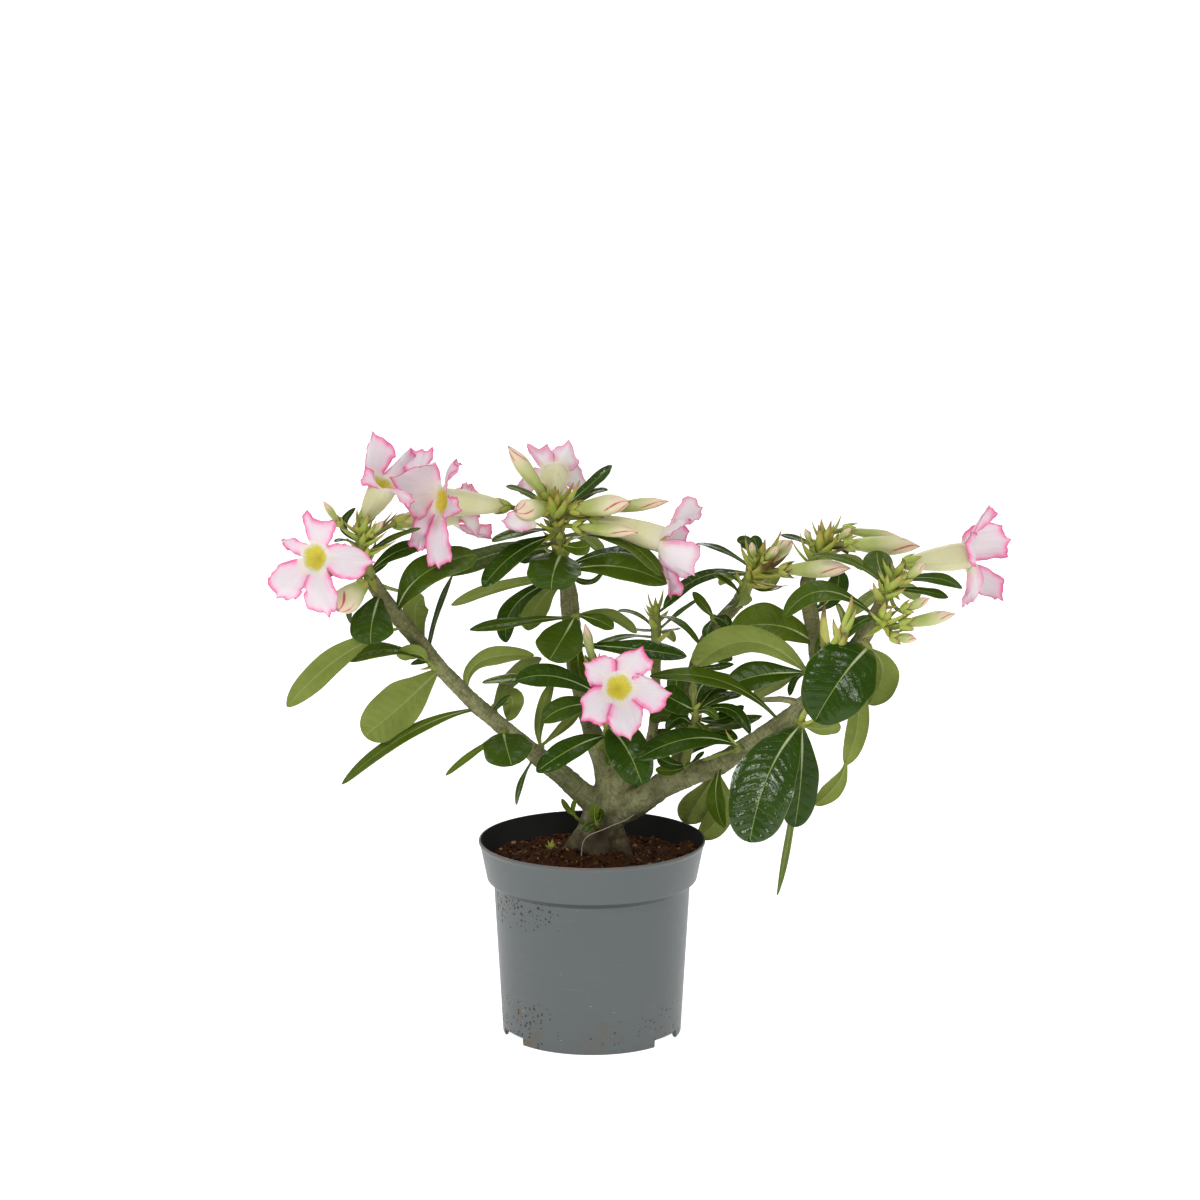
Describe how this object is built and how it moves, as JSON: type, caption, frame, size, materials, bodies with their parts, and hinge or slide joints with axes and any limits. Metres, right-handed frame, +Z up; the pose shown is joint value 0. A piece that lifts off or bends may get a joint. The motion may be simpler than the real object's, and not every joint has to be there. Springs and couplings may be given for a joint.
{
  "type": "potted desert rose plant",
  "caption": "Flowering desert rose with a forked woody trunk, leafy sprays, trumpet blooms and buds, in a round plastic nursery pot.",
  "frame": {"origin": "centre of the flat middle of the pot's underside, level with the foot it stands on", "axes": "+Z up, +X to the viewer's right along the plant's widest spread, -Y towards the viewer of the front view"},
  "size_m": [0.4836, 0.1741, 0.4016],
  "materials": {
    "pot_plastic": "satin mid grey, with specks of dried soil",
    "peat": "crumbly damp peat",
    "bark": "grey olive bark with fine rings and small scars",
    "leaf": "glossy dark green above, paler and duller below, pale midrib",
    "petal": "soft white petals that deepen to hot pink at the edge, yellow throat",
    "bud": "pale yellow green with salmon stripes at the tip"
  },
  "bodies": {
    "root": {"back_shoot": "leaf", "back_tuft": "leaf", "bend_tuft": "leaf", "bloom_centre_right": "petal", "bloom_far_right": "petal", "bloom_front_centre": "petal", "bloom_front_left": "petal", "bloom_left_hidden": "petal", "bloom_left_middle": "petal", "bloom_top_back": "petal", "bloom_upper_left": "petal", "bright_tuft": "leaf", "bud_back_fat": "bud", "bud_back_pale": "bud", "bud_front_tall": "bud", "bud_left_open": "bud", "bud_middle_fat": "bud", "bud_middle_low": "bud", "bud_middle_open": "bud", "bud_middle_slim": "bud", "bud_middle_tall": "bud", "bud_right_slim": "bud", "bud_upper_arched": "bud", "bud_upper_fat": "bud", "dry_tuft": "leaf", "front_shoot": "leaf", "front_sprout": "leaf", "grey_tuft": "leaf", "inner_shoot": "leaf", "leaf_arched": "leaf", "leaf_grey_arch": "leaf", "leaf_hanging": "leaf", "leaf_long_arch": "leaf", "leaf_long_narrow": "leaf", "leaf_long_pale": "leaf", "leaf_olive": "leaf", "leaf_olive_back": "leaf", "leaf_round_back": "leaf", "leaf_shadow_side": "leaf", "leaf_strip": "leaf", "leaf_under_flower": "leaf", "left_shoot": "leaf", "left_sprout": "leaf", "left_tuft": "leaf", "limb_tuft": "leaf", "long_tuft": "leaf", "middle_shoot": "leaf", "middle_tuft": "leaf", "pod_tuft": "leaf", "pot": "pot_plastic", "right_low_tuft": "leaf", "right_shoot": "leaf", "right_tuft": "leaf", "rim_tuft": "leaf", "soil": "peat", "thin_shoot": "leaf", "tip_tuft": "leaf", "trunk_and_branches": "bark", "upper_shoot": "leaf", "upright_tuft": "leaf"}
  },
  "joints": []
}
